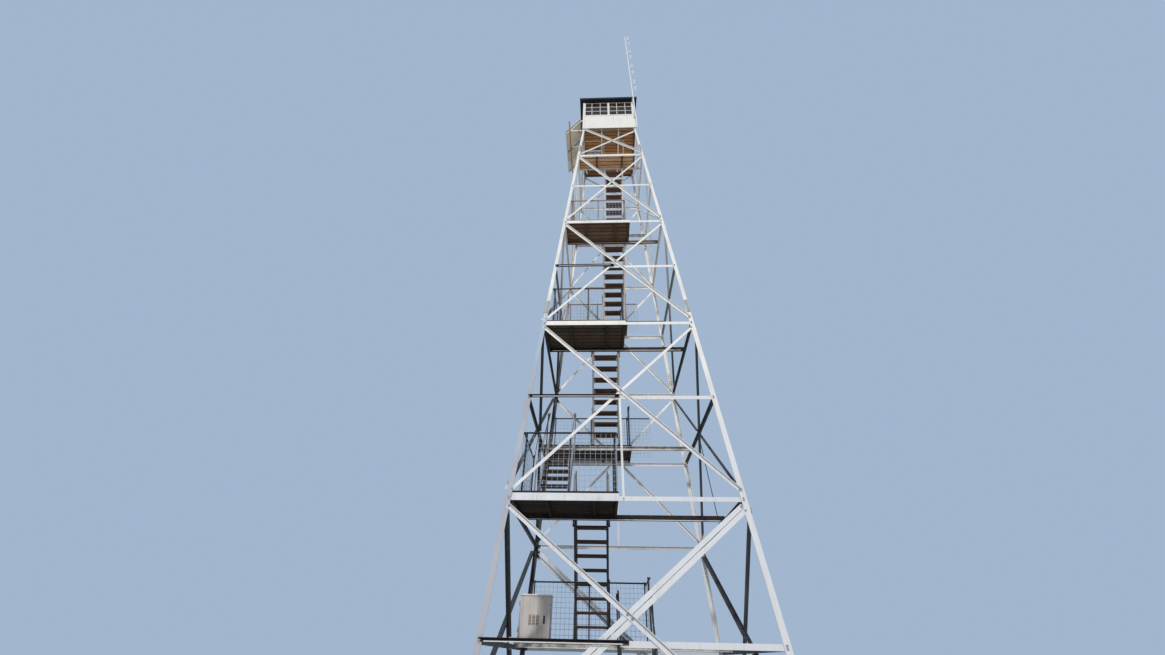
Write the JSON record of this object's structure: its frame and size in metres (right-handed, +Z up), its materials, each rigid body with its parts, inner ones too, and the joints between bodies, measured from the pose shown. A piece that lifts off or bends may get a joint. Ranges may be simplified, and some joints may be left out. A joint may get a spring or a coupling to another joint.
{
  "type": "fire lookout tower",
  "caption": "Tapering steel lattice fire lookout tower with zigzag stairs and landings, a glazed hip-roofed cab, a dipole mast, tilted solar panels and an equipment cabinet.",
  "frame": {"origin": "middle of the four piers' undersides, on the ground", "axes": "+Z up; +X to the right and +Y away when facing the side that carries the mast"},
  "size_m": [5.442, 5.442, 27.0496],
  "materials": {
    "galvanised_steel": "weathered zinc grey",
    "concrete": "rough cast",
    "weathered_wood": "weathered brown",
    "white_paint": "flaking white paint",
    "window_glass": "clear over a dark room",
    "soffit_wood": "dark boards",
    "fascia_metal": "pale weathered sheet",
    "roofing": "dark sheet",
    "dark_pipe": "dull grey",
    "aerial_metal": "dull",
    "solar_cells": "dark cells behind glass",
    "white_bracket": "white",
    "cabinet_paint": "grey paint",
    "cabinet_cap_paint": "pale grey paint",
    "handle_plastic": "matt black",
    "dark_steel": "dark brown weathered steel"
  },
  "bodies": {
    "tower": {"concrete_piers": "concrete", "base_plates": "galvanised_steel", "front_left_leg": "galvanised_steel", "front_right_leg": "galvanised_steel", "rear_right_leg": "galvanised_steel", "rear_left_leg": "galvanised_steel", "front_girts": "galvanised_steel", "right_girts": "galvanised_steel", "rear_girts": "galvanised_steel", "left_girts": "galvanised_steel", "front_half_girts": "dark_steel", "outer_braces": "galvanised_steel", "inner_braces": "galvanised_steel", "centre_hangers": "galvanised_steel", "landing_beams": "dark_steel", "landing_joists": "weathered_wood", "landing_rims": "galvanised_steel", "front_landing_decks": "weathered_wood", "rear_landing_decks": "weathered_wood", "stair_stringers": "galvanised_steel", "stair_treads": "weathered_wood", "stair_handrails": "dark_pipe", "stair_rail_posts": "dark_pipe", "front_landing_guards": "dark_pipe", "rear_landing_guards": "dark_pipe", "landing_guard_posts": "dark_pipe", "cab_floor": "weathered_wood", "cab_floor_joists": "weathered_wood", "front_cab_wall": "white_paint", "right_cab_wall": "white_paint", "rear_cab_wall": "white_paint", "left_cab_wall": "white_paint", "window_sashes": "white_paint", "window_panes": "window_glass", "cab_ceiling": "soffit_wood", "fascia_boards": "fascia_metal", "hip_roof": "roofing", "aerial_mast": "aerial_metal", "aerial_dipoles": "aerial_metal", "aerial_clamps": "aerial_metal", "solar_panels": "solar_cells", "solar_brackets": "white_bracket", "solar_rail": "dark_pipe", "equipment_case": "cabinet_paint", "equipment_case_cap": "cabinet_cap_paint"},
    "equipment_door": {"equipment_case_door": "cabinet_paint", "equipment_door_handle": "handle_plastic"}
  },
  "joints": [
    {"name": "equipment_door_hinge", "type": "hinge", "parent": "tower", "child": "equipment_door", "pos_m": [-2.16, 0.935, 2.3], "axis": [0, 0, -1], "range_deg": [0, 85]}
  ]
}
